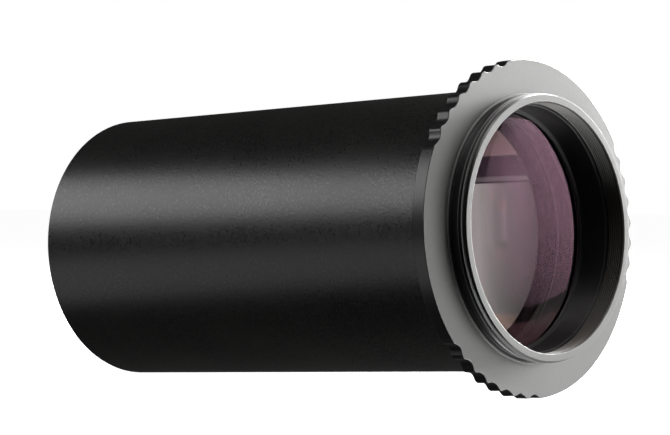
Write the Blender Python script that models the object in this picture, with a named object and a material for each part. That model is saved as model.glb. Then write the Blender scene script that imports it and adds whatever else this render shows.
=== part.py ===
"""A two-inch optical corrector that slips into a telescope's focuser and carries a camera.

The optical axis is X and the camera end is at +X. The origin lies on the axis, in the plane of the
flange face that stops against the focuser. The barrel holds the telescope-side lens group and the
glare stops. The knurled camera ring holds the camera-side lens group and screws out of the barrel.
"""

import math

import bmesh
import bpy
from mathutils import Matrix, Vector

MM = 0.001
GAP = 0.3 * MM
OUTSIDE_SEGMENTS = 72
INSIDE_SEGMENTS = 36
O_RING_SIDES = 8
MERGE_DISTANCE = 1e-7

# Barrel
BARREL_RADIUS = 25.4 * MM
BARREL_BORE_RADIUS = 24.4 * MM
BARREL_NOSE_X = -97.17 * MM
BARREL_MOUTH_X = -1.0 * MM
BARREL_CHAMFER = 0.4 * MM
FILTER_THREAD_RADIUS = 23.9 * MM
FILTER_THREAD_LENGTH = 5.0 * MM
SHOULDER_RADIUS = 22.5 * MM
SHOULDER_LENGTH = 1.2 * MM
SLIP_RADIUS = 24.1 * MM

# Telescope-side lens cell
SHIM_THICKNESS = 0.5 * MM
CELL_LENGTH = 22.0 * MM
CELL_LIP_RADIUS = 20.8 * MM
CELL_LIP_LENGTH = 1.2 * MM
CELL_BORE_RADIUS = 22.6 * MM
LOCK_RING_LENGTH = 4.0 * MM
LOCK_RING_RADIUS = 21.2 * MM

# Glass and the rings that hold it, alike in both groups
LENS_RADIUS = 22.3 * MM
LENS_RINGS = 5
TELESCOPE_OUTER_EDGE = 4.0 * MM
TELESCOPE_OUTER_SAGS = (2.0 * MM, 0.0)
TELESCOPE_INNER_EDGE = 6.0 * MM
TELESCOPE_INNER_SAGS = (-0.8 * MM, -2.2 * MM)
CAMERA_INNER_EDGE = 5.0 * MM
CAMERA_INNER_SAGS = (-1.6 * MM, -0.8 * MM)
CAMERA_OUTER_EDGE = 1.6 * MM
CAMERA_OUTER_SAGS = (2.4 * MM, 0.6 * MM)
SPACER_RADIUS = 20.6 * MM
TELESCOPE_SPACER_LENGTH = 1.5 * MM
CAMERA_SPACER_LENGTH = 3.55 * MM
PRELOAD_SECTION = 0.6 * MM
RETAINER_RADIUS = 20.2 * MM
RETAINER_LENGTH = 3.0 * MM
SLOT_WIDTH = 1.6 * MM
SLOT_DEPTH = 1.2 * MM
SLOT_REACH = 8.0 * MM

# Glare stops
STOP_RADIUS = 20.4 * MM
STOP_THICKNESS = 1.2 * MM
STOP_COUNT = 3

# Camera ring
FLANGE_RADIUS = 30.2 * MM
FLANGE_THICKNESS = 2.7 * MM
FLANGE_CHAMFER = 0.2 * MM
COLLAR_RADIUS = 24.1 * MM
COLLAR_HEIGHT = 0.25 * MM
STUB_LENGTH = 4.06 * MM
STUB_RADIUS = 23.95 * MM
STUB_RIM_RADIUS = 23.68 * MM
STUB_BORE_RADIUS = 22.26 * MM
UNDERCUT_RADIUS = 23.35 * MM
UNDERCUT_LENGTH = 0.95 * MM
THREAD_PITCH = 0.75 * MM
THREAD_DEPTH = 0.42 * MM
THREAD_TURNS = 4
THREAD_FLAT = 0.1 * MM
THREAD_LEAD_IN = 0.31 * MM
INNER_THREAD_LENGTH = 3.9 * MM
WELL_RADIUS = 22.0 * MM
WELL_FLOOR_X = -2.5 * MM
LENS_LIP_RADIUS = 21.4 * MM
LENS_LIP_LENGTH = 0.5 * MM
SPIGOT_LENGTH = 26.0 * MM
SPIGOT_RELIEF_RADIUS = 23.5 * MM
SPIGOT_THREAD_LENGTH = 9.0 * MM
SEAL_SECTION = 0.5 * MM
SEAL_SEAT_RADIUS = BARREL_RADIUS + GAP
SEAL_SEAT_DEPTH = 0.6 * MM

# Finger grip: three groups of scallops cut into the flange's edge
GRIP_GROUPS = 3
GRIP_CENTRE_DEG = 6.05
SCALLOPS_PER_GROUP = 7
SCALLOP_PITCH_DEG = 7.5
SCALLOP_CUTTER_RADIUS = 1.9 * MM
SCALLOP_DEPTH = 0.68 * MM
SCALLOP_SEGMENTS = 20


for old in list(bpy.data.objects):
    bpy.data.objects.remove(old)


def material(name, color, roughness, metallic=0.0, alpha=1.0):
    made = bpy.data.materials.new(name)
    made.use_nodes = True
    shader = made.node_tree.nodes["Principled BSDF"]
    shader.inputs["Base Color"].default_value = (*color, 1.0)
    shader.inputs["Roughness"].default_value = roughness
    shader.inputs["Metallic"].default_value = metallic
    shader.inputs["Alpha"].default_value = alpha
    return made


def anodised(name, lightness, roughness):
    """Black anodised aluminium, in the finish that one piece was given."""
    return material(name, (lightness, lightness, 0.95 * lightness), roughness, 0.6)


def add_object(name, bm, finish):
    bmesh.ops.recalc_face_normals(bm, faces=bm.faces)
    mesh = bpy.data.meshes.new(name)
    bm.to_mesh(mesh)
    bm.free()
    if finish:
        mesh.materials.append(finish)
        mesh.shade_smooth()
        mesh.set_sharp_from_angle(angle=math.radians(25))
    made = bpy.data.objects.new(name, mesh)
    bpy.context.collection.objects.link(made)
    return made


def turned(name, outline, finish, segments=INSIDE_SEGMENTS):
    """A closed outline of (x, radius) points, turned once round the optical axis."""
    bm = bmesh.new()
    points = [bm.verts.new((x, radius, 0)) for x, radius in outline]
    edges = [bm.edges.new(pair) for pair in zip(points, points[1:] + points[:1])]
    bmesh.ops.spin(
        bm,
        geom=points + edges,
        cent=(0, 0, 0),
        axis=(1, 0, 0),
        angle=math.tau,
        steps=segments,
        use_merge=True,
    )
    bmesh.ops.remove_doubles(bm, verts=bm.verts, dist=MERGE_DISTANCE)
    bmesh.ops.dissolve_degenerate(bm, edges=bm.edges, dist=MERGE_DISTANCE)
    return add_object(name, bm, finish)


def sleeve(name, start, length, inner, outer, finish):
    """A plain ring with square ends."""
    end = start + length
    outline = [(start, inner), (end, inner), (end, outer), (start, outer)]
    return turned(name, outline, finish)


def o_ring(name, centre_x, centre_radius, section, finish, segments=INSIDE_SEGMENTS):
    outline = []
    for side in range(O_RING_SIDES):
        angle = math.tau * side / O_RING_SIDES
        x = centre_x + section * math.cos(angle)
        outline.append((x, centre_radius + section * math.sin(angle)))
    return turned(name, outline, finish, segments)


def lens(name, start, edge, sags, finish):
    """A round lens whose edge runs from start to start + edge.

    The first sag bulges towards the telescope and the second towards the camera, or hollows the
    face where it is negative.
    """
    front_sag, back_sag = sags
    radii = [LENS_RADIUS * ring / LENS_RINGS for ring in range(LENS_RINGS + 1)]
    front = [(start - front_sag * (1 - (r / LENS_RADIUS) ** 2), r) for r in radii]
    back = [(start + edge + back_sag * (1 - (r / LENS_RADIUS) ** 2), r) for r in radii]
    return turned(name, front + back[::-1], finish)


def cut(target, cutter):
    cutter.hide_render = True
    cutter.display_type = "WIRE"
    boolean = target.modifiers.new("Cut by " + cutter.name, "BOOLEAN")
    boolean.operation = "DIFFERENCE"
    boolean.object = cutter


def spanner_slots(target, end, radius):
    """Two slots across a ring's end face at +Z and -Z, for a spanner."""
    bm = bmesh.new()
    for side in (1, -1):
        place = Matrix.Translation((end, 0, side * radius))
        size = Vector((2 * SLOT_DEPTH, SLOT_WIDTH, SLOT_REACH))
        bmesh.ops.create_cube(bm, size=1, matrix=place @ Matrix.Diagonal(size).to_4x4())
    cut(target, add_object(target.name + "_slots", bm, None))


def retainer(name, start, finish):
    """A threaded ring that holds the glass in its bore."""
    return sleeve(name, start, RETAINER_LENGTH, RETAINER_RADIUS, LENS_RADIUS, finish)


# ---------------------------------------------------------------------------------------------
# Materials
# ---------------------------------------------------------------------------------------------

barrel_black = anodised("barrel_black", 0.025, 0.42)
ring_black = anodised("ring_black", 0.05, 0.35)
cell_black = anodised("cell_black", 0.015, 0.6)
bare_aluminium = material("bare_aluminium", (0.75, 0.75, 0.74), 0.35, 1.0)
seal_rubber = material("seal_rubber", (0.02, 0.02, 0.02), 0.8)
flint_glass = material("flint_glass", (0.85, 0.9, 0.95), 0.03, alpha=0.35)
coated_glass = material("coated_glass", (0.62, 0.45, 0.55), 0.03, alpha=0.35)


# ---------------------------------------------------------------------------------------------
# Barrel: a thin tube with a filter thread at its nose and a shoulder behind it
# ---------------------------------------------------------------------------------------------


def make_barrel():
    thread_end = BARREL_NOSE_X + FILTER_THREAD_LENGTH
    shoulder_end = thread_end + SHOULDER_LENGTH
    outline = [
        (BARREL_NOSE_X, FILTER_THREAD_RADIUS + BARREL_CHAMFER),
        (BARREL_NOSE_X + BARREL_CHAMFER, FILTER_THREAD_RADIUS),
        (thread_end, FILTER_THREAD_RADIUS),
        (thread_end, SHOULDER_RADIUS),
        (shoulder_end, SHOULDER_RADIUS),
        (shoulder_end, BARREL_BORE_RADIUS),
        (BARREL_MOUTH_X, BARREL_BORE_RADIUS),
        (BARREL_MOUTH_X, BARREL_RADIUS),
        (BARREL_NOSE_X + BARREL_CHAMFER, BARREL_RADIUS),
        (BARREL_NOSE_X, BARREL_RADIUS - BARREL_CHAMFER),
    ]
    turned("barrel_tube", outline, barrel_black, OUTSIDE_SEGMENTS)
    return shoulder_end


# ---------------------------------------------------------------------------------------------
# Telescope-side lens group, in a cell that is pushed against the barrel's shoulder
# ---------------------------------------------------------------------------------------------


def make_telescope_group(shoulder_x):
    """Stacks the cell and its contents from the shoulder, and gives the lock ring's far end."""
    shim_x = shoulder_x + GAP
    sleeve("telescope_cell_shim", shim_x, SHIM_THICKNESS, SHOULDER_RADIUS, SLIP_RADIUS, bare_aluminium)

    cell_x = shim_x + SHIM_THICKNESS + GAP
    cell_end = cell_x + CELL_LENGTH
    lip_end = cell_x + CELL_LIP_LENGTH
    outline = [
        (cell_x, CELL_LIP_RADIUS),
        (lip_end, CELL_LIP_RADIUS),
        (lip_end, CELL_BORE_RADIUS),
        (cell_end, CELL_BORE_RADIUS),
        (cell_end, SLIP_RADIUS),
        (cell_x, SLIP_RADIUS),
    ]
    turned("telescope_cell", outline, cell_black)

    outer_x = lip_end + GAP
    lens("telescope_lens_outer", outer_x, TELESCOPE_OUTER_EDGE, TELESCOPE_OUTER_SAGS, coated_glass)
    spacer_x = outer_x + TELESCOPE_OUTER_EDGE + GAP
    sleeve(
        "telescope_lens_spacer",
        spacer_x,
        TELESCOPE_SPACER_LENGTH,
        SPACER_RADIUS,
        LENS_RADIUS,
        cell_black,
    )
    inner_x = spacer_x + TELESCOPE_SPACER_LENGTH + GAP
    lens("telescope_lens_inner", inner_x, TELESCOPE_INNER_EDGE, TELESCOPE_INNER_SAGS, flint_glass)
    preload_x = inner_x + TELESCOPE_INNER_EDGE + GAP + PRELOAD_SECTION
    preload_radius = LENS_RADIUS - PRELOAD_SECTION
    o_ring("telescope_preload_ring", preload_x, preload_radius, PRELOAD_SECTION, seal_rubber)
    retainer_x = preload_x + PRELOAD_SECTION + GAP
    ring = retainer("telescope_lens_retainer", retainer_x, cell_black)
    spanner_slots(ring, retainer_x + RETAINER_LENGTH, RETAINER_RADIUS)

    lock_x = cell_end + GAP
    lock_end = lock_x + LOCK_RING_LENGTH
    lock = sleeve("cell_lock_ring", lock_x, LOCK_RING_LENGTH, LOCK_RING_RADIUS, SLIP_RADIUS, cell_black)
    spanner_slots(lock, lock_end, LOCK_RING_RADIUS)
    return lock_end


# ---------------------------------------------------------------------------------------------
# Glare stops: knife-edged rings pressed into a thin liner between the two lens groups
# ---------------------------------------------------------------------------------------------


def make_glare_stops(start, end):
    liner_x = start + GAP
    length = end - GAP - liner_x
    sleeve("glare_liner", liner_x, length, CELL_BORE_RADIUS, SLIP_RADIUS, cell_black)
    for number in range(STOP_COUNT):
        x = liner_x + length * (number + 1) / (STOP_COUNT + 1)
        outline = [
            (x, STOP_RADIUS),
            (x + STOP_THICKNESS, STOP_RADIUS + STOP_THICKNESS),
            (x + STOP_THICKNESS, LENS_RADIUS),
            (x, LENS_RADIUS),
        ]
        turned(f"glare_stop_{number + 1}", outline, cell_black)


# ---------------------------------------------------------------------------------------------
# Camera ring: flange, threaded stub for the camera and spigot, turned from one piece
# ---------------------------------------------------------------------------------------------


def stub_thread(rim_x):
    """Points of the stub's ridges from the rim to the undercut, as rings a pitch apart."""
    points = []
    for turn in range(THREAD_TURNS):
        crest = rim_x - THREAD_LEAD_IN - turn * THREAD_PITCH
        root = crest - THREAD_PITCH / 2
        points += [
            (crest, STUB_RADIUS),
            (crest - THREAD_FLAT, STUB_RADIUS),
            (root, STUB_RADIUS - THREAD_DEPTH),
            (root - THREAD_FLAT, STUB_RADIUS - THREAD_DEPTH),
        ]
    return points[:-2]


def scallop_cutters():
    bm = bmesh.new()
    centre_radius = FLANGE_RADIUS - SCALLOP_DEPTH + SCALLOP_CUTTER_RADIUS
    for group in range(GRIP_GROUPS):
        for number in range(SCALLOPS_PER_GROUP):
            step = number - (SCALLOPS_PER_GROUP - 1) / 2
            degrees = GRIP_CENTRE_DEG + group * 360 / GRIP_GROUPS + step * SCALLOP_PITCH_DEG
            place = (
                Matrix.Rotation(math.radians(degrees), 4, "X")
                @ Matrix.Translation((FLANGE_THICKNESS / 2, centre_radius, 0))
                @ Matrix.Rotation(math.pi / 2, 4, "Y")
            )
            bmesh.ops.create_cone(
                bm,
                cap_ends=True,
                segments=SCALLOP_SEGMENTS,
                radius1=SCALLOP_CUTTER_RADIUS,
                radius2=SCALLOP_CUTTER_RADIUS,
                depth=2 * FLANGE_THICKNESS,
                matrix=place,
            )
    return add_object("scallop_cutters", bm, None)


def make_camera_ring():
    face_x = FLANGE_THICKNESS
    rim_x = face_x + STUB_LENGTH
    collar_x = face_x + COLLAR_HEIGHT
    edge_radius = FLANGE_RADIUS - FLANGE_CHAMFER
    inner_thread_x = rim_x - INNER_THREAD_LENGTH
    lip_x = WELL_FLOOR_X - LENS_LIP_LENGTH
    outline = [
        (rim_x, STUB_BORE_RADIUS),
        (rim_x, STUB_RIM_RADIUS),
        *stub_thread(rim_x),
        (collar_x + UNDERCUT_LENGTH, UNDERCUT_RADIUS),
        (collar_x, UNDERCUT_RADIUS),
        (collar_x, COLLAR_RADIUS),
        (face_x, COLLAR_RADIUS),
        (face_x, edge_radius),
        (face_x - FLANGE_CHAMFER, FLANGE_RADIUS),
        (FLANGE_CHAMFER, FLANGE_RADIUS),
        (0, edge_radius),
        (0, SEAL_SEAT_RADIUS),
        (SEAL_SEAT_DEPTH, SEAL_SEAT_RADIUS),
        (SEAL_SEAT_DEPTH, SLIP_RADIUS),
        (-SPIGOT_THREAD_LENGTH, SLIP_RADIUS),
        (-SPIGOT_THREAD_LENGTH, SPIGOT_RELIEF_RADIUS),
        (-SPIGOT_LENGTH, SPIGOT_RELIEF_RADIUS),
        (-SPIGOT_LENGTH, CELL_BORE_RADIUS),
        (lip_x, CELL_BORE_RADIUS),
        (lip_x, LENS_LIP_RADIUS),
        (WELL_FLOOR_X, LENS_LIP_RADIUS),
        (WELL_FLOOR_X, WELL_RADIUS),
        (inner_thread_x, WELL_RADIUS),
        (inner_thread_x, STUB_BORE_RADIUS),
    ]
    ring = turned("camera_ring", outline, ring_black, OUTSIDE_SEGMENTS)
    cut(ring, scallop_cutters())
    return lip_x


# ---------------------------------------------------------------------------------------------
# Camera-side lens group, loaded into the spigot from behind and seated on the ring's lip
# ---------------------------------------------------------------------------------------------


def make_camera_group(lip_x):
    outer_x = lip_x - GAP - CAMERA_OUTER_EDGE
    lens("camera_lens_outer", outer_x, CAMERA_OUTER_EDGE, CAMERA_OUTER_SAGS, coated_glass)
    seat_bulge = CAMERA_OUTER_SAGS[0] * (1 - (SPACER_RADIUS / LENS_RADIUS) ** 2)
    spacer_x = outer_x - seat_bulge - GAP - CAMERA_SPACER_LENGTH
    sleeve(
        "camera_lens_spacer",
        spacer_x,
        CAMERA_SPACER_LENGTH,
        SPACER_RADIUS,
        LENS_RADIUS,
        cell_black,
    )
    inner_x = spacer_x - GAP - CAMERA_INNER_EDGE
    lens("camera_lens_inner", inner_x, CAMERA_INNER_EDGE, CAMERA_INNER_SAGS, flint_glass)
    preload_x = inner_x - GAP - PRELOAD_SECTION
    preload_radius = LENS_RADIUS - PRELOAD_SECTION
    o_ring("camera_preload_ring", preload_x, preload_radius, PRELOAD_SECTION, seal_rubber)
    retainer_x = preload_x - PRELOAD_SECTION - GAP - RETAINER_LENGTH
    ring = retainer("camera_lens_retainer", retainer_x, cell_black)
    spanner_slots(ring, retainer_x, RETAINER_RADIUS)


# ---------------------------------------------------------------------------------------------
# Assembly
# ---------------------------------------------------------------------------------------------

shoulder_x = make_barrel()
lock_end_x = make_telescope_group(shoulder_x)
make_glare_stops(lock_end_x, -SPIGOT_LENGTH)
o_ring(
    "barrel_seal_ring",
    (BARREL_MOUTH_X + SEAL_SEAT_DEPTH) / 2,
    BARREL_RADIUS - SEAL_SECTION,
    SEAL_SECTION,
    seal_rubber,
    OUTSIDE_SEGMENTS,
)
lens_lip_x = make_camera_ring()
make_camera_group(lens_lip_x)
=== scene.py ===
"""Looks of a two-inch telescope corrector: a slip-fit barrel with its lenses and the camera ring."""

import math

import bmesh
import bpy
import numpy as np
from mathutils import Matrix, Vector


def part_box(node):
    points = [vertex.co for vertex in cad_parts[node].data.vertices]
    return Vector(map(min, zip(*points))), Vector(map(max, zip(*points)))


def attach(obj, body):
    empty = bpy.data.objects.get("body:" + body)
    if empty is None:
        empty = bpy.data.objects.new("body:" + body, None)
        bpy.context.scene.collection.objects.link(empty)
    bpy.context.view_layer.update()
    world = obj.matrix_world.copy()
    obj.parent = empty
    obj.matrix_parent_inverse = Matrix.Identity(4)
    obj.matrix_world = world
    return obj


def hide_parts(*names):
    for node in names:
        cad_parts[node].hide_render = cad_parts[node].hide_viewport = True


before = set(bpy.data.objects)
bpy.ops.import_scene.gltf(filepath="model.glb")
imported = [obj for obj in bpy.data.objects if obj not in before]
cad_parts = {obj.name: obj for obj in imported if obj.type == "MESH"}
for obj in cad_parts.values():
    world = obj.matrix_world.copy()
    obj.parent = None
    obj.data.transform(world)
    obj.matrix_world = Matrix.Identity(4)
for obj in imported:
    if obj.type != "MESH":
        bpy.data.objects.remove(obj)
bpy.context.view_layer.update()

# ---------------------------------------------------------------------------------------------
# Barrel. A drawn aluminium tube, turned to slip into a two-inch holder, with a 48 mm filter
# thread cut in its nose. It is bead-blasted, then anodised a soft satin black.
# ---------------------------------------------------------------------------------------------

MM = 0.001


def even_angles(count):
    return np.arange(count) * math.tau / count


def eased(outline, size, wear=1):
    """Rounds every corner of a closed outline of (x, radius) points, and weights it for wear and
    painted glints.

    A point may hold its own size of round, which is then used and not the common one. A plain
    point on each side of the round keeps the long faces flat in the light.
    """
    steps = 2
    rows = []
    count = len(outline)
    for index, corner in enumerate(outline):
        before = np.array(outline[index - 1][:2])
        after = np.array(outline[(index + 1) % count][:2])
        here = np.array(corner[:2])
        inward, outward = before - here, after - here
        reach_in, reach_out = np.linalg.norm(inward), np.linalg.norm(outward)
        ease = min(corner[2] if len(corner) > 2 else size, 0.3 * reach_in, 0.3 * reach_out)
        if ease <= 0:
            rows.append((*here, 0))
            continue
        start, end = here + inward / reach_in * ease, here + outward / reach_out * ease
        rows.append((*(start + (start - here) * 0.25), 0))
        for step in range(steps + 1):
            t = step / steps
            point = (1 - t) ** 2 * start + 2 * t * (1 - t) * here + t**2 * end
            rows.append((*point, wear * math.sin(math.pi * (0.15 + 0.7 * t))))
        rows.append((*(end + (end - here) * 0.25), 0))
    return rows


def turned(name, rows, angles, smooth_deg=40):
    """A closed skin round the optical axis.

    Each row is (x, radius, wear), or a pair of a function that gives those three for all the
    angles and a shift. A thread's rows climb with the angle, so where the skin closes on itself
    each of them meets the row that many places further on.
    """
    shifts = [row[1] if callable(row[0]) else 0 for row in rows]
    values = [row[0](angles) if callable(row[0]) else row for row in rows]
    x, radius, wear = (
        np.array([np.broadcast_to(value[part], angles.shape) for value in values])
        for part in range(3)
    )
    points = np.stack([x, radius * np.cos(angles), radius * np.sin(angles)], axis=-1)
    row_count, angle_count = x.shape
    grid = np.arange(row_count * angle_count).reshape(row_count, angle_count)
    below = np.roll(grid, -1, axis=0)
    inner = np.stack([grid[:, :-1], grid[:, 1:], below[:, 1:], below[:, :-1]], axis=-1)
    faces = inner.reshape(-1, 4).tolist()
    for row in range(row_count):
        after = (row + 1) % row_count
        shift = shifts[row] if shifts[row] == shifts[after] else 0
        meets, meets_after = row + shift, after + shift
        if shift:
            if not (0 <= meets < row_count and 0 <= meets_after < row_count):
                continue
            if shifts[meets] != shift or shifts[meets_after] != shift:
                continue
        faces.append([grid[row, -1], grid[meets, 0], grid[meets_after, 0], grid[after, -1]])
    mesh = bpy.data.meshes.new(name)
    mesh.from_pydata(points.reshape(-1, 3).tolist(), [], faces)
    mesh.attributes.new("wear", "FLOAT", "POINT").data.foreach_set("value", wear.ravel())
    shape = bmesh.new()
    shape.from_mesh(mesh)
    bmesh.ops.remove_doubles(shape, verts=shape.verts, dist=1e-7)
    bmesh.ops.dissolve_degenerate(shape, edges=shape.edges, dist=1e-8)
    loose = [vert for vert in shape.verts if not vert.link_faces]
    bmesh.ops.delete(shape, geom=loose, context="VERTS")
    bmesh.ops.recalc_face_normals(shape, faces=shape.faces)
    shape.to_mesh(mesh)
    shape.free()
    mesh.shade_smooth()
    mesh.set_sharp_from_angle(angle=math.radians(smooth_deg))
    piece = bpy.data.objects.new(name, mesh)
    bpy.context.scene.collection.objects.link(piece)
    return piece


def thread(start, end, root, crest, pitch):
    """Rows of a right-hand thread from start to end along the axis, running out at both ends."""
    # The section of one ridge, as (share of the pitch, share of the height) points.
    ridge = ((0.1, 0), (0.43, 1), (0.57, 1), (0.9, 0))
    crest_wear = 0.1
    way = 1 if end > start else -1
    length = abs(end - start)
    first = -1 if way > 0 else 0
    last = first + math.ceil(length / pitch) + 2
    places = [(first, 0, 0)]
    places += [(turn, share, height) for turn in range(first, last) for share, height in ridge]
    rows = []
    for turn, share, height in places:

        def row(angles, turn=turn, share=share, height=height):
            along = np.clip(pitch * (turn + share + way * angles / math.tau), 0, length)
            fade = np.clip(np.minimum(along, length - along) / (0.5 * pitch), 0, 1)
            radius = root + (crest - root) * height * fade
            return start + way * along, radius, crest_wear * height * fade

        rows.append((row, way * len(ridge)))
    return rows


class Signal:
    """A number or colour in a finish's nodes, so that a pattern is written as a formula."""

    def __init__(self, tree, socket):
        self.tree = tree
        self.socket = socket

    def node(self, kind, settings=None, inputs=None, output=0):
        """Any node: its settings first, then the values or signals of its sockets."""
        made = self.tree.nodes.new("ShaderNode" + kind)
        for name, value in (settings or {}).items():
            setattr(made, name, value)
        for key, value in (inputs or {}).items():
            if isinstance(value, Signal):
                self.tree.links.new(value.socket, made.inputs[key])
            else:
                made.inputs[key].default_value = value
        return Signal(self.tree, made.outputs[output])

    def math(self, operation, first, second):
        return self.node("Math", {"operation": operation}, {0: first, 1: second})

    def __add__(self, other):
        return self.math("ADD", self, other)

    __radd__ = __add__

    def __sub__(self, other):
        return self.math("SUBTRACT", self, other)

    def __rsub__(self, other):
        return self.math("SUBTRACT", other, self)

    def __mul__(self, other):
        return self.math("MULTIPLY", self, other)

    __rmul__ = __mul__

    def __truediv__(self, other):
        return self.math("DIVIDE", self, other)

    def __rpow__(self, other):
        return self.math("POWER", other, self)

    def step(self, low, high):
        """Goes smoothly from 0 at low to 1 at high; low may be the greater of the two."""
        settings = {"interpolation_type": "SMOOTHSTEP"}
        return self.node("MapRange", settings, {"Value": self, "From Min": low, "From Max": high})

    def blend(self, first, second):
        """The first colour where this is 0, and the second where it is 1."""
        inputs = {0: self, 6: first, 7: second}
        return self.node("Mix", {"data_type": "RGBA"}, inputs, output=2)

    def stretched(self, along):
        return self.node("VectorMath", {"operation": "MULTIPLY"}, {0: self, 1: along})

    def part(self, axis):
        return self.node("SeparateXYZ", inputs={0: self}, output="XYZ".index(axis))

    def noise(self, size, detail=2.0, roughness=0.5):
        """A cloud pattern whose lumps are about size metres across."""
        inputs = {"Vector": self, "Scale": 1 / size, "Detail": detail, "Roughness": roughness}
        return self.node("TexNoise", None, inputs)

    def specks(self, size, radius):
        """Round dots, one in each cell of that size, 1 at their middles and 0 past the radius."""
        cells = self.node("TexVoronoi", None, {"Vector": self, "Scale": 1 / size})
        return cells.step(radius / size, 0.4 * radius / size)


def finish(name, constants):
    """A new finish: its Principled shader with the values that are the same all over it."""
    made = bpy.data.materials.new(name)
    made.use_nodes = True
    shader = made.node_tree.nodes["Principled BSDF"]
    for socket, value in constants.items():
        shader.inputs[socket].default_value = value
    start = Signal(made.node_tree, None)
    place = start.node("TexCoord", output=3)
    # This weight lightens anodised edges, partly as real wear and partly as painted glints.
    wear = start.node("Attribute", {"attribute_name": "wear"}, output=2)
    return made, place, wear


def feed(made, signals):
    """Links signals to the sockets of a finish's shader."""
    shader = made.node_tree.nodes["Principled BSDF"]
    for socket, signal in signals.items():
        made.node_tree.links.new(signal.socket, shader.inputs[socket])


def from_axis(place):
    """Distance from the optical axis."""
    flat = place.stretched((0, 1, 1))
    return place.node("VectorMath", {"operation": "LENGTH"}, {0: flat}, output=1)


def lathe_lines(place, spacing):
    """Fine grooves that run round the axis, on a face as well as along a cylinder."""
    inputs = {"W": place.part("X") + from_axis(place), "Scale": 1 / spacing, "Detail": 2.0}
    return place.node("TexNoise", {"noise_dimensions": "1D"}, inputs)


def anodised(name, dark, light, wear_and_glint_grey, roughness, grain, depth, lines=0.0, grit=0.14, zones=None):
    """Black anodising: fine grain or lathe lines under it, handling haze over it, edges lighter from
    wear and painted glints.

    The zones function may change the colour and roughness from place to place.
    """
    made, place, wear = finish(name, {"IOR": 1.62})
    speckle = place.noise(grain, 3.0, 0.6)
    cloud = place.noise(14 * MM, 3.0)
    grooves = lathe_lines(place, 0.09 * MM)
    dust = place.specks(2.4 * MM, 0.07 * MM) * place.noise(9 * MM).step(0.5, 0.62)
    # Lighter patches on the edges: part real wear, part painted edge glints.
    wear_and_glint_patches = wear * place.noise(0.8 * MM, 3.0).step(0.35, 0.7)
    tone = (speckle * 0.55 + cloud * 0.25 + grooves * 0.2).step(0.3, 0.7)
    colour = tone.blend(dark, light)
    rough = roughness + (cloud - 0.5) * 0.08 + (speckle - 0.5) * grit
    if zones:
        colour, rough = zones(place, tone, colour, rough)
    colour = dust.blend(wear_and_glint_patches.blend(colour, wear_and_glint_grey), (0.35, 0.34, 0.32, 1))
    rough = rough + dust * 0.3 - wear_and_glint_patches * 0.08
    height = speckle * (1 - lines) + grooves * lines
    bump = height.node("Bump", None, {"Height": height, "Distance": depth, "Strength": 1.0})
    feed(made, {"Base Color": colour, "Roughness": rough, "Normal": bump})
    return made


def fit(piece, made, body, slot, *nodes):
    """Gives a piece its finish, hangs it on its body and lets it stand for its plain solids."""
    piece.data.materials.append(made)
    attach(piece, body)
    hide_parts(*nodes)


barrel_low, barrel_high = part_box("barrel_tube")
barrel_radius = barrel_high.z
barrel_bore = barrel_radius - 1.0 * MM
nose_x, mouth_x = barrel_low.x, barrel_high.x
filter_root = 24.1 * MM
filter_crest = 23.65 * MM
filter_end_x = nose_x + 5.0 * MM
shoulder_radius = 22.5 * MM
shoulder_x = filter_end_x + 1.2 * MM
standard_pitch = 0.75 * MM

barrel_corners = [
    (filter_end_x, filter_root, 0.1 * MM),
    (filter_end_x, shoulder_radius, 0.12 * MM),
    (shoulder_x, shoulder_radius, 0.12 * MM),
    (shoulder_x, barrel_bore, 0.1 * MM),
    (mouth_x, barrel_bore, 0.1 * MM),
    (mouth_x, barrel_radius, 0.15 * MM),
    (nose_x, barrel_radius, 0.4 * MM),
    (nose_x, filter_root + 0.2 * MM, 0.2 * MM),
    (nose_x + 0.3 * MM, filter_root, 0),
]
barrel_rows = eased(barrel_corners, 0)
barrel_rows += thread(
    nose_x + 0.35 * MM, filter_end_x - 0.5 * MM, filter_root, filter_crest, standard_pitch
)
barrel = turned("barrel", barrel_rows, even_angles(288))
barrel_finish = anodised(
    "satin black barrel",
    dark=(0.004, 0.004, 0.004, 1),
    light=(0.010, 0.010, 0.009, 1),
    wear_and_glint_grey=(0.1, 0.1, 0.1, 1),
    roughness=0.32,
    grain=0.42 * MM,
    depth=0.030 * MM,
    grit=0.35,
)
fit(barrel, barrel_finish, "barrel", "barrel_anodising", "barrel_tube")

# ---------------------------------------------------------------------------------------------
# Telescope-side cell. A matt black cup with a lip at its nose, dropped in from the mouth onto a
# bare aluminium shim that sets its place on the barrel's shoulder.
# ---------------------------------------------------------------------------------------------

cell_finish = anodised(
    "matt black cell",
    dark=(0.004, 0.004, 0.004, 1),
    light=(0.010, 0.010, 0.009, 1),
    wear_and_glint_grey=(0.03, 0.03, 0.03, 1),
    roughness=0.6,
    grain=0.3 * MM,
    depth=0.008 * MM,
    lines=0.8,
)


def sleeve(name, node, inner, ease=0.12 * MM):
    """A plain ring with broken edges, as wide and as long as its solid."""
    low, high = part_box(node)
    outline = [(low.x, inner), (high.x, inner), (high.x, high.z), (low.x, high.z)]
    return turned(name, eased(outline, ease), even_angles(192))


def bare_metal(name):
    """Turned aluminium left bright, with lathe lines and a few dull fingermarks."""
    made, place, wear = finish(name, {"Metallic": 1.0})
    lines = lathe_lines(place, 0.07 * MM)
    marks = place.noise(7 * MM, 3.0).step(0.45, 0.65)
    colour = marks.blend((0.78, 0.78, 0.77, 1), (0.62, 0.62, 0.60, 1))
    bump = lines.node("Bump", None, {"Height": lines, "Distance": 0.01 * MM})
    rough = 0.28 + marks * 0.15 + lines * 0.1 - wear * 0.05
    feed(made, {"Base Color": colour, "Roughness": rough, "Normal": bump})
    return made


shim = sleeve("telescope_cell_shim_ring", "telescope_cell_shim", shoulder_radius, 0.05 * MM)
fit(shim, bare_metal("bare aluminium"), "barrel", "bare_aluminium", "telescope_cell_shim")

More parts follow.
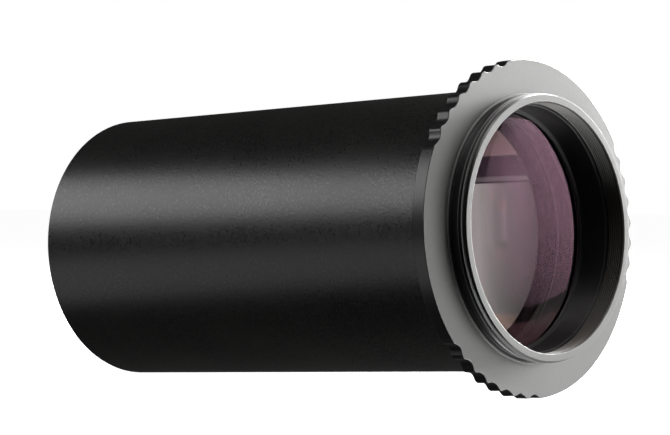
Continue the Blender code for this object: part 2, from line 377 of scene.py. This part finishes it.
cell_low, cell_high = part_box("telescope_cell")
cell_lip_x = cell_low.x + 1.2 * MM
cell_lip_radius = 20.8 * MM
cell_bore = 22.6 * MM
cell_outline = [
    (cell_low.x, cell_lip_radius, 0.3 * MM),
    (cell_lip_x, cell_lip_radius),
    (cell_lip_x, cell_bore),
    (cell_high.x, cell_bore),
    (cell_high.x, cell_high.z),
    (cell_low.x, cell_high.z),
]
cell = turned("telescope_lens_cell", eased(cell_outline, 0.15 * MM), even_angles(192))
fit(cell, cell_finish, "barrel", "cell_anodising", "telescope_cell")

# ---------------------------------------------------------------------------------------------
# Lenses. Two polished pairs, one pair in the cell and one in the camera ring. Each has true
# spherical faces, ground matt edges, and the outer two a mauve anti-reflection coating.
# ---------------------------------------------------------------------------------------------


def lens(name, node, telescope_sag, camera_sag):
    """A lens in its solid's place. A sag is the height of a face's bulge, below 0 for a hollow."""
    low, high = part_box(node)
    radius = high.z
    left = low.x + max(telescope_sag, 0)
    right = high.x - max(camera_sag, 0)
    steps = 40
    bevel = 0.25 * MM
    reach = radius - bevel

    def face(edge_x, sag, outward):
        rows = []
        for step in range(steps + 1):
            r = reach * step / steps
            if sag == 0:
                rise = 0
            else:
                ball = (reach**2 + sag**2) / (2 * abs(sag))
                rise = math.copysign(math.sqrt(ball**2 - r**2) - (ball - abs(sag)), sag)
            rows.append((edge_x + outward * rise, r, 0))
        return rows

    rows = face(left, telescope_sag, -1)
    rows.append((left + bevel, radius, 1))
    rows.append((right - bevel, radius, 1))
    rows += face(right, camera_sag, 1)[::-1]
    return turned(name, rows, even_angles(160), smooth_deg=25)


def glass(name, tint, sheen, index, coat):
    """Clear glass with a coating's tint in its reflections, a ground edge and a little dust."""
    constants = {
        "IOR": index,
        "Transmission Weight": 1.0,
        "Specular IOR Level": coat,
        "Specular Tint": sheen,
    }
    made, place, wear = finish(name, constants)
    dust = place.specks(2.6 * MM, 0.045 * MM) * place.noise(8 * MM).step(0.48, 0.6)
    ground = wear.step(0.5, 1.0)
    haze = place.noise(11 * MM, 4.0).step(0.3, 0.9)
    colour = ground.blend(dust.blend(tint, (0.5, 0.5, 0.5, 1)), (0.02, 0.02, 0.02, 1))
    rough = 0.012 + haze * 0.02 + ground * 0.5 + dust * 0.4
    feed(made, {"Base Color": colour, "Roughness": rough})
    return made


coated_glass = glass(
    "mauve coated glass",
    tint=(0.4, 0.26, 0.345, 1),
    sheen=(1.0, 0.87, 0.85, 1),
    index=1.62,
    coat=0.3,
)
clear_glass = glass(
    "clear glass",
    tint=(0.86, 0.90, 0.90, 1),
    sheen=(1.0, 0.85, 0.95, 1),
    index=1.52,
    coat=0.05,
)

telescope_outer = lens("telescope_front_lens", "telescope_lens_outer", 2.0 * MM, 0)
fit(telescope_outer, coated_glass, "barrel", "coated_glass", "telescope_lens_outer")
telescope_inner = lens("telescope_rear_lens", "telescope_lens_inner", -0.8 * MM, -2.2 * MM)
fit(telescope_inner, clear_glass, "barrel", "clear_glass", "telescope_lens_inner")
camera_inner = lens("camera_front_lens", "camera_lens_inner", -1.6 * MM, -0.8 * MM)
fit(camera_inner, clear_glass, "camera_end", "clear_glass", "camera_lens_inner")
camera_outer = lens("camera_rear_lens", "camera_lens_outer", 2.4 * MM, 0.6 * MM)
fit(camera_outer, coated_glass, "camera_end", "coated_glass", "camera_lens_outer")

# ---------------------------------------------------------------------------------------------
# Spacers and retaining rings. Matt black rings turned to length: a spacer between the two lenses
# of each pair, and behind each pair a threaded ring with two slots for a spanner.
# ---------------------------------------------------------------------------------------------

for spacer_name, spacer_node, spacer_body in (
    ("telescope_pair_spacer", "telescope_lens_spacer", "barrel"),
    ("camera_pair_spacer", "camera_lens_spacer", "camera_end"),
):
    spacer = sleeve(spacer_name, spacer_node, 20.6 * MM)
    fit(spacer, cell_finish, spacer_body, "cell_anodising", spacer_node)


def slotted(name, node, inner, slot_end):
    """A retaining ring whose spanner slots are cut across one end, at the top and the bottom."""
    low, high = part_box(node)
    end_x = high.x if slot_end == "camera" else low.x
    outline = [(low.x, inner), (high.x, inner), (high.x, high.z), (low.x, high.z)]
    rows = eased(outline, 0.15 * MM)
    half_width = 0.8 * MM
    depth = 1.2 * MM
    inward = -1 if slot_end == "camera" else 1
    half_slot = math.asin(half_width / inner)
    slots = (math.pi / 2, -math.pi / 2)
    edges = [slot + side * half_slot for slot in slots for side in (-1, 1)]
    near = [edge + nudge for edge in edges for nudge in (-1e-3, 1e-3)]
    angles = np.sort(np.mod(np.concatenate([even_angles(180), near]), math.tau))

    def cut(x, radius, wear):
        def row(at):
            off = np.minimum(abs(at - math.pi / 2), abs(at - 1.5 * math.pi))
            sunk = (off < half_slot) & (abs(x - end_x) < depth)
            return np.where(sunk, end_x + inward * depth, x), radius, wear

        return row, 0

    return turned(name, [cut(*row) for row in rows], angles)


for ring_name, ring_node, ring_inner, ring_end, ring_body in (
    ("telescope_pair_retainer", "telescope_lens_retainer", 20.2 * MM, "camera", "barrel"),
    ("telescope_cell_lock", "cell_lock_ring", 21.2 * MM, "camera", "barrel"),
    ("camera_pair_retainer", "camera_lens_retainer", 20.2 * MM, "telescope", "camera_end"),
):
    ring = slotted(ring_name, ring_node, ring_inner, ring_end)
    fit(ring, cell_finish, ring_body, "cell_anodising", ring_node)

# ---------------------------------------------------------------------------------------------
# Rubber rings. Moulded black nitrile: one presses on each pair of lenses under its retainer, and
# one sits in the flange's seat against the barrel's mouth.
# ---------------------------------------------------------------------------------------------


def rubber(name):
    """Matt moulded rubber with a talc bloom and a faint parting line."""
    made, place, wear = finish(name, {"IOR": 1.5})
    bloom = place.noise(2.5 * MM, 4.0).step(0.4, 0.75)
    pores = place.noise(0.12 * MM, 2.0)
    colour = bloom.blend((0.010, 0.010, 0.010, 1), (0.030, 0.030, 0.029, 1))
    bump = pores.node("Bump", None, {"Height": pores, "Distance": 0.015 * MM})
    feed(made, {"Base Color": colour, "Roughness": 0.62 + bloom * 0.2, "Normal": bump})
    return made


def o_ring(name, node):
    """A round-section ring with the thin flash line that its mould leaves."""
    low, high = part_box(node)
    section = (high.x - low.x) / 2
    centre_x, centre_radius = (low.x + high.x) / 2, high.z - section
    beside_flash = 0.985
    sides = 24
    rows = []
    for side in range(sides):
        angle = math.tau * (side + 0.5) / sides
        reach = section * (beside_flash if side % (sides // 2) in (0, sides // 2 - 1) else 1)
        rows.append((centre_x + reach * math.cos(angle), centre_radius + reach * math.sin(angle), 0))
    return turned(name, rows, even_angles(192))


seal_rubber = rubber("black nitrile")
for rubber_name, rubber_node, rubber_body in (
    ("telescope_pair_cushion", "telescope_preload_ring", "barrel"),
    ("camera_pair_cushion", "camera_preload_ring", "camera_end"),
    ("flange_seal", "barrel_seal_ring", "seal"),
):
    fit(o_ring(rubber_name, rubber_node), seal_rubber, rubber_body, "seal_rubber", rubber_node)

# ---------------------------------------------------------------------------------------------
# Glare liner and stops. A thin matt tube between the pairs, with three knife-edged rings
# pressed into it.
# ---------------------------------------------------------------------------------------------

liner_low, liner_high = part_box("glare_liner")
liner_bore = 22.6 * MM
liner_outline = [
    (liner_high.x, liner_bore, 0.15 * MM),
    (liner_high.x, liner_high.z, 0.15 * MM),
    (liner_low.x, liner_high.z, 0.15 * MM),
    (liner_low.x, liner_bore, 0.15 * MM),
]
liner = turned("glare_tube", eased(liner_outline, 0), even_angles(192))
fit(liner, cell_finish, "barrel", "cell_anodising", "glare_liner")

stop_radius = 20.4 * MM
for number in (1, 2, 3):
    stop_low, stop_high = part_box(f"glare_stop_{number}")
    stop_outline = [
        (stop_low.x, stop_radius, 0.03 * MM),
        (stop_high.x, stop_radius + (stop_high.x - stop_low.x), 0.1 * MM),
        (stop_high.x, stop_high.z, 0.1 * MM),
        (stop_low.x, stop_high.z, 0.1 * MM),
    ]
    stop = turned(f"glare_ring_{number}", eased(stop_outline, 0), even_angles(160))
    fit(stop, cell_finish, "barrel", "cell_anodising", f"glare_stop_{number}")

# ---------------------------------------------------------------------------------------------
# Camera ring. One turning in black anodised aluminium: scalloped flange, male camera thread, a
# bore with a fine thread and a deep black well, and the spigot that screws into the barrel.
# ---------------------------------------------------------------------------------------------

ring_low, ring_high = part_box("camera_ring")
flange_radius = 30.2 * MM
flange_thickness = 2.7 * MM
rim_x = ring_high.x
face_x = flange_thickness
collar_x = face_x + 0.25 * MM
collar_radius = 24.1 * MM
undercut_radius = 23.35 * MM
stub_crest = 23.95 * MM
stub_root = 23.50 * MM
rim_radius = 23.68 * MM
stub_thread_x = rim_x - 0.28 * MM
undercut_end_x = collar_x + 1.25 * MM
bore_crest = 22.26 * MM
bore_root = 22.52 * MM
bore_mouth_x = rim_x - 0.35 * MM
bore_thread_end = rim_x - 3.9 * MM
bore_pitch = 0.42 * MM
well_radius = 22.0 * MM
well_floor_x = -2.5 * MM
lip_radius = 21.4 * MM
lip_back_x = well_floor_x - 0.5 * MM
spigot_bore = 22.6 * MM
spigot_end_x = ring_low.x
spigot_relief = 23.5 * MM
spigot_root = 23.7 * MM
spigot_crest = 24.1 * MM
spigot_thread_x = -9.0 * MM
seat_radius = barrel_radius + 0.3 * MM
seat_x = 0.6 * MM

scallop_centre_deg = 6.05
scallop_pitch_deg = 7.5
scallops_in_group = 7
scallop_depth = 0.68 * MM
scallop_cutter = 1.9 * MM
scallop_corner = 0.12 * MM
scallop_corner_width = math.radians(0.45)
cutter_centre = flange_radius - scallop_depth + scallop_cutter
cut_cosine = (cutter_centre**2 + flange_radius**2 - scallop_cutter**2) / (
    2 * cutter_centre * flange_radius
)
scallop_half = math.acos(cut_cosine)
scallop_angles = [
    math.radians(
        scallop_centre_deg + 120 * group + scallop_pitch_deg * (number - scallops_in_group // 2)
    )
    for group in range(3)
    for number in range(scallops_in_group)
]


def from_scallop(angles):
    """How far each angle is from the middle of the nearest scallop."""
    gaps = [np.mod(angles - middle + math.pi, math.tau) - math.pi for middle in scallop_angles]
    return np.abs(gaps).min(axis=0)


def flange_edge(x, inset, wear):
    """A row round the flange's edge, following the scallops."""

    def row(angles):
        off = from_scallop(angles)
        inside = off < scallop_half
        sine = np.where(inside, np.sin(off), 0) * cutter_centre
        cut = cutter_centre * np.cos(off) - np.sqrt(scallop_cutter**2 - sine**2)
        radius = np.where(inside, cut, flange_radius)
        corner = np.exp(-(((off - scallop_half) / scallop_corner_width) ** 2))
        radius = radius - corner * scallop_corner
        return x, radius - inset, wear * np.maximum(0.4, corner)

    return row, 0


clear_of_scallops = math.radians(4.2)
plain_angles = even_angles(216)
ring_angles = list(plain_angles[from_scallop(plain_angles) > clear_of_scallops])
for middle in scallop_angles:
    for offset_deg in (0, 0.6, 1.2, 1.7, 2.1, 2.4, 2.65, 2.9, 3.15, 3.4):
        ring_angles += [middle + side * math.radians(offset_deg) for side in (-1, 1)]
ring_angles = np.unique(np.round(np.mod(ring_angles, math.tau), 6))

ring_rows = eased(
    [
        (bore_mouth_x, bore_crest, 0),
        (rim_x, bore_crest + 0.12 * MM, 0.08 * MM),
        (rim_x, rim_radius, 0.1 * MM),
        (stub_thread_x, stub_root, 0),
    ],
    0,
)
ring_rows += thread(
    stub_thread_x, undercut_end_x + 0.05 * MM, stub_root, stub_crest, standard_pitch
)
# The last point of this outline only steers the round before it, so its row is left out.
ring_rows += eased(
    [
        (undercut_end_x, undercut_radius, 0),
        (collar_x, undercut_radius, 0.05 * MM),
        (collar_x, collar_radius, 0.05 * MM),
        (face_x, collar_radius + 0.05 * MM, 0.03 * MM),
        (face_x, flange_radius - 1.2 * MM, 0),
    ],
    0,
)[:-1]
for edge_x, edge_inset, edge_wear in (
    (face_x, 0.16 * MM, 0),
    (face_x, 0.10 * MM, 0.4),
    (face_x - 0.03 * MM, 0.04 * MM, 1),
    (face_x - 0.10 * MM, 0.0, 0.4),
    (face_x - 0.16 * MM, 0.0, 0),
    (0.26 * MM, 0.0, 0),
    (0.20 * MM, 0.0, 0.4),
    (0.06 * MM, 0.08 * MM, 1),
    (0.0, 0.20 * MM, 0.4),
    (0.0, 0.26 * MM, 0),
):
    ring_rows.append(flange_edge(edge_x, edge_inset, edge_wear))
ring_rows += eased(
    [
        (0, flange_radius - 1.2 * MM, 0),
        (0, seat_radius, 0.08 * MM),
        (seat_x, seat_radius, 0.05 * MM),
        (seat_x, spigot_root, 0),
    ],
    0,
)
ring_rows += thread(
    seat_x - 0.05 * MM, spigot_thread_x, spigot_root, spigot_crest, standard_pitch
)
ring_rows += eased(
    [
        (spigot_thread_x - 0.1 * MM, spigot_relief, 0),
        (spigot_end_x, spigot_relief, 0.3 * MM),
        (spigot_end_x, spigot_bore, 0.2 * MM),
        (lip_back_x, spigot_bore, 0.05 * MM),
        (lip_back_x, lip_radius, 0.08 * MM),
        (well_floor_x, lip_radius, 0.12 * MM),
        (well_floor_x, well_radius, 0.1 * MM),
        (bore_thread_end, well_radius, 0.1 * MM),
        (bore_thread_end, bore_root, 0.05 * MM),
        (bore_thread_end + 0.25 * MM, bore_root, 0),
    ],
    0,
    wear=0.1,
)
ring_rows += thread(
    bore_thread_end + 0.3 * MM, bore_mouth_x - 0.05 * MM, bore_root, bore_crest, bore_pitch
)
camera_ring = turned("camera_flange_and_stub", ring_rows, ring_angles, smooth_deg=45)


def ring_zones(place, tone, colour, rough):
    """Rough grey faces with painted sheen, painted highlights on thread crests, painted shade in the
    bore.

    The steps between zones are 0.04 to 0.11 mm wide, so that no zone ends in a hard line.
    """
    bore_shade_black = (0.002, 0.002, 0.002, 1)
    root_shade_black = (0.004, 0.004, 0.004, 1)
    bore_ridge_highlight_grey = (0.050, 0.046, 0.040, 1)
    stub_crest_highlight_grey = (0.06, 0.06, 0.058, 1)
    # The front face and rim are a lighter grey than the sides: part finish, part painted sheen.
    face_grey_and_sheen = tone.blend((0.022, 0.022, 0.021, 1), (0.042, 0.042, 0.040, 1))

    x, radius = place.part("X"), from_axis(place)
    ahead_of_face = x.step(face_x + 0.02 * MM, face_x + 0.06 * MM)
    on_face = x.step(face_x - 0.05 * MM, face_x) * (1 - ahead_of_face)
    on_rim = x.step(rim_x - 0.10 * MM, rim_x - 0.06 * MM)
    matte_with_sheen = on_face.math("MAXIMUM", on_face, on_rim)
    # Stub thread crests are painted lighter grey: a painted highlight.
    crest = radius.step(stub_crest - 0.16 * MM, stub_crest - 0.05 * MM) * ahead_of_face
    in_thread = radius.step(bore_root + 0.1 * MM, bore_root + 0.04 * MM)
    in_thread = in_thread * x.step(bore_thread_end, bore_thread_end + 0.1 * MM)
    # Bore thread ridges get a painted highlight, and their roots painted shade black.
    bore_ridge_highlight_mask = radius.step(bore_crest + 0.16 * MM, bore_crest + 0.06 * MM)
    # Down the bore the colour turns a darker black: painted shade.
    in_bore = radius.step(spigot_bore + 0.05 * MM, spigot_bore - 0.03 * MM)
    painted = in_bore * (1 - in_thread) * (1 - matte_with_sheen)

    # Painted highlight on the stub thread crests.
    colour = crest.blend(colour, stub_crest_highlight_grey)
    # Painted highlight on bore thread ridges, painted shade in their roots.
    colour = in_thread.blend(colour, bore_ridge_highlight_mask.blend(root_shade_black, bore_ridge_highlight_grey))
    # Painted sheen: the front face and rim turn lighter grey.
    colour = matte_with_sheen.blend(colour, face_grey_and_sheen)
    # Painted shade down the bore.
    colour = painted.blend(colour, bore_shade_black)
    return colour, rough + painted * 0.1 + matte_with_sheen * 0.16 + crest * (1 - matte_with_sheen) * 0.3


ring_finish = anodised(
    "satin black camera ring",
    dark=(0.004, 0.004, 0.004, 1),
    light=(0.010, 0.010, 0.010, 1),
    wear_and_glint_grey=(0.12, 0.12, 0.115, 1),
    roughness=0.30,
    grain=0.2 * MM,
    depth=0.010 * MM,
    lines=0.8,
    zones=ring_zones,
)
fit(camera_ring, ring_finish, "camera_end", "ring_anodising", "camera_ring")

# ---------------------------------------------------------------------------------------------
# Table, lights and camera. A pale table under the flange and the nose, softboxes to the left,
# overhead, beneath and on the far side, and a window before the lens. A black flag keeps the
# far lamps off the barrel, and a long lens looks along the table.
# ---------------------------------------------------------------------------------------------

rest_flange = Vector((0, 0, -flange_radius))
rest_nose = Vector((nose_x, 0, -barrel_radius))
slope = math.atan2(rest_nose.z - rest_flange.z, rest_flange.x - rest_nose.x)
table_turn = Matrix.Translation(rest_flange) @ Matrix.Rotation(slope, 4, "Y")
table_gap = 0.05 * MM
table_mesh = bpy.data.meshes.new("table")
table_shape = bmesh.new()
bmesh.ops.create_grid(table_shape, x_segments=8, y_segments=8, size=6.0)
table_shape.to_mesh(table_mesh)
table_shape.free()
table = bpy.data.objects.new("table", table_mesh)
table.matrix_world = table_turn @ Matrix.Translation((0, 0, -table_gap))
bpy.context.scene.collection.objects.link(table)
glow = {"Roughness": 0.7, "Emission Color": (1, 1, 1, 1), "Emission Strength": 0.96}
table_finish, table_place, _ = finish("pale table", glow)
table_tone = table_place.noise(60 * MM, 2.0)
table_colour = table_tone.blend((0.82, 0.82, 0.81, 1), (0.86, 0.86, 0.85, 1))
feed(table_finish, {"Base Color": table_colour})
table_mesh.materials.append(table_finish)
table.visible_glossy = False
table.visible_diffuse = False
table.visible_transmission = False
table.visible_shadow = False


def softbox(name, toward, distance, size, radiance):
    """A rectangular diffuser in a direction from a point 30 mm down the barrel, facing it."""
    aim = Vector((-30 * MM, 0, 0))
    data = bpy.data.lights.new(name, "AREA")
    data.shape = "RECTANGLE"
    data.size, data.size_y = size
    data.energy = radiance * math.pi * size[0] * size[1]
    lamp = bpy.data.objects.new(name, data)
    away = Vector(toward).normalized()
    lamp.location = aim + away * distance
    lamp.rotation_euler = away.to_track_quat("Z", "Y").to_euler()
    lamp.visible_camera = False
    bpy.context.scene.collection.objects.link(lamp)
    return lamp


near_by, far_off = 0.5, 0.7
softbox("left softbox", (-0.665, -0.597, 0.432), near_by, size=(0.5, 0.20), radiance=2.5)
softbox("low card", (-0.665, -0.70, -0.30), near_by, size=(0.5, 0.22), radiance=0.55)
softbox("overhead softbox", (0.45, -0.1, 0.9), near_by, size=(0.3, 0.3), radiance=7.0)
softbox("far side softbox", (0.10, 0.98, 0.15), far_off, size=(0.3, 0.3), radiance=36.0)
softbox("upper far card", (0.087, 0.879, 0.469), far_off, size=(0.35, 0.5), radiance=42.0)
softbox("under card", (0.25, 0.35, -0.90), near_by, size=(0.3, 0.3), radiance=10.0)

flag_back_x, flag_front_x = -250 * MM, -1 * MM
flag_foot, flag_top = -150 * MM, 250 * MM
flag_y = 90 * MM
flag_corners = [
    (flag_back_x, flag_y, flag_foot),
    (flag_front_x, flag_y, flag_foot),
    (flag_front_x, flag_y, flag_top),
    (flag_back_x, flag_y, flag_top),
]
flag_mesh = bpy.data.meshes.new("black flag")
flag_mesh.from_pydata(flag_corners, [], [(0, 1, 2, 3)])
flag = bpy.data.objects.new("black flag", flag_mesh)
bpy.context.scene.collection.objects.link(flag)
flag_finish, flag_place, _ = finish("black flock", {"Roughness": 0.9})
flag_tone = flag_place.noise(2 * MM)
flag_colour = flag_tone.blend((0.002, 0.002, 0.002, 1), (0.006, 0.006, 0.006, 1))
feed(flag_finish, {"Base Color": flag_colour})
flag_mesh.materials.append(flag_finish)
flag.visible_camera = False
flag.visible_glossy = False
flag.visible_diffuse = False
flag.visible_transmission = False

facing = Vector((0.665, 0.747, 0.03)).normalized()
sideways = facing.cross(Vector((0, 0, 1))).normalized()
upward = sideways.cross(facing).normalized()
window_centre = facing * 0.7 + sideways * 0.175 + upward * 0.015
window = softbox("side window", facing, 0, size=(1.05, 1.07), radiance=1.0)
window.matrix_world = Matrix.Translation(window_centre) @ Matrix(
    (-sideways, upward, facing)
).transposed().to_4x4()
window.data.use_nodes = True
window_tree = window.data.node_tree
spot = Signal(window_tree, None).node("NewGeometry", output="Position")


def along_card(axis):
    """Metres along the window from the point that a flat lens would mirror."""
    inputs = {0: spot, 1: tuple(axis)}
    return spot.node("VectorMath", {"operation": "DOT_PRODUCT"}, inputs, output=1)


across, up_card = along_card(sideways), along_card(upward)

# The whole window: brighter to the right and the foot, with a dark bar and a brown strip on top.
view = (2.6 + across * 7.5 - up_card * 8.5) * (0.45 + 0.55 * across.step(-0.15, 0.15))
top_strip = up_card.step(0.375, 0.385)
view = view * (1 - up_card.step(0.300, 0.312)) + top_strip * 1.0

# The pane that the lens mirrors upright: its glow is strongest beside the frame at its right.
beside_frame = 1 - across.step(0.0, 0.03)
pane = beside_frame * across.step(-0.135, -0.115) * up_card.step(-0.125, -0.11)
pane = pane * (1 - up_card.step(0.095, 0.11))
glow_width = 0.036
inside_frame = across.math("MINIMUM", across, -0.004) + 0.004
fall = math.e ** (inside_frame / glow_width)
sill = 1 - up_card.step(-0.080, -0.074)
grey = 3.7 * fall * (1 + sill * 0.6)

# A dark gap runs across the pane, with a thin lit line in it and a pink strip above it.
below_gap = 1 - up_card.step(0.0312, 0.0325)
lit_line = up_card.step(0.0326, 0.0340) * (1 - up_card.step(0.0362, 0.0382))
above_gap = up_card.step(0.0535, 0.0555)
pane_level = grey * below_gap + above_gap * 1.3 + lit_line * 0.8 + 0.1
level = view + (pane_level - view) * pane

white, brown, pink = (1, 1, 1, 1), (1.0, 0.78, 0.68, 1), (1.0, 0.71, 0.71, 1)
tint = (pane * sill).blend(white, brown)
tint = (pane * above_gap).blend(tint, pink)
tint = top_strip.blend(tint, brown)
lamp_shader = window_tree.nodes["Emission"]
window_tree.links.new(tint.socket, lamp_shader.inputs["Color"])
window_tree.links.new(level.socket, lamp_shader.inputs["Strength"])

world = bpy.data.worlds.new("studio")
world.use_nodes = True
bpy.context.scene.world = world
sky = world.node_tree.nodes["Background"]
seen = Signal(world.node_tree, None).node("LightPath")
backdrop = seen.blend((0.02, 0.02, 0.02, 1), white)
world.node_tree.links.new(backdrop.socket, sky.inputs["Color"])
sky.inputs["Strength"].default_value = 1.0

lens_data = bpy.data.cameras.new("camera")
lens_data.sensor_width = 36
lens_data.lens = 145.1
lens_data.clip_start = 0.01
lens_data.clip_end = 50
camera = bpy.data.objects.new("camera", lens_data)
camera_place = Vector((296.12 * MM, -382.37 * MM, -9.7 * MM))
right = Vector((0.7461, 0.6652, -0.0297))
back = right.cross(Vector((0.0398, 0.0, 0.9992))).normalized()
up = back.cross(right).normalized()
turn = Matrix((right.normalized(), up, back)).transposed().to_4x4()
camera.matrix_world = Matrix.Translation(camera_place) @ turn
bpy.context.scene.collection.objects.link(camera)
bpy.context.scene.camera = camera
bpy.context.scene.view_settings.view_transform = "Standard"
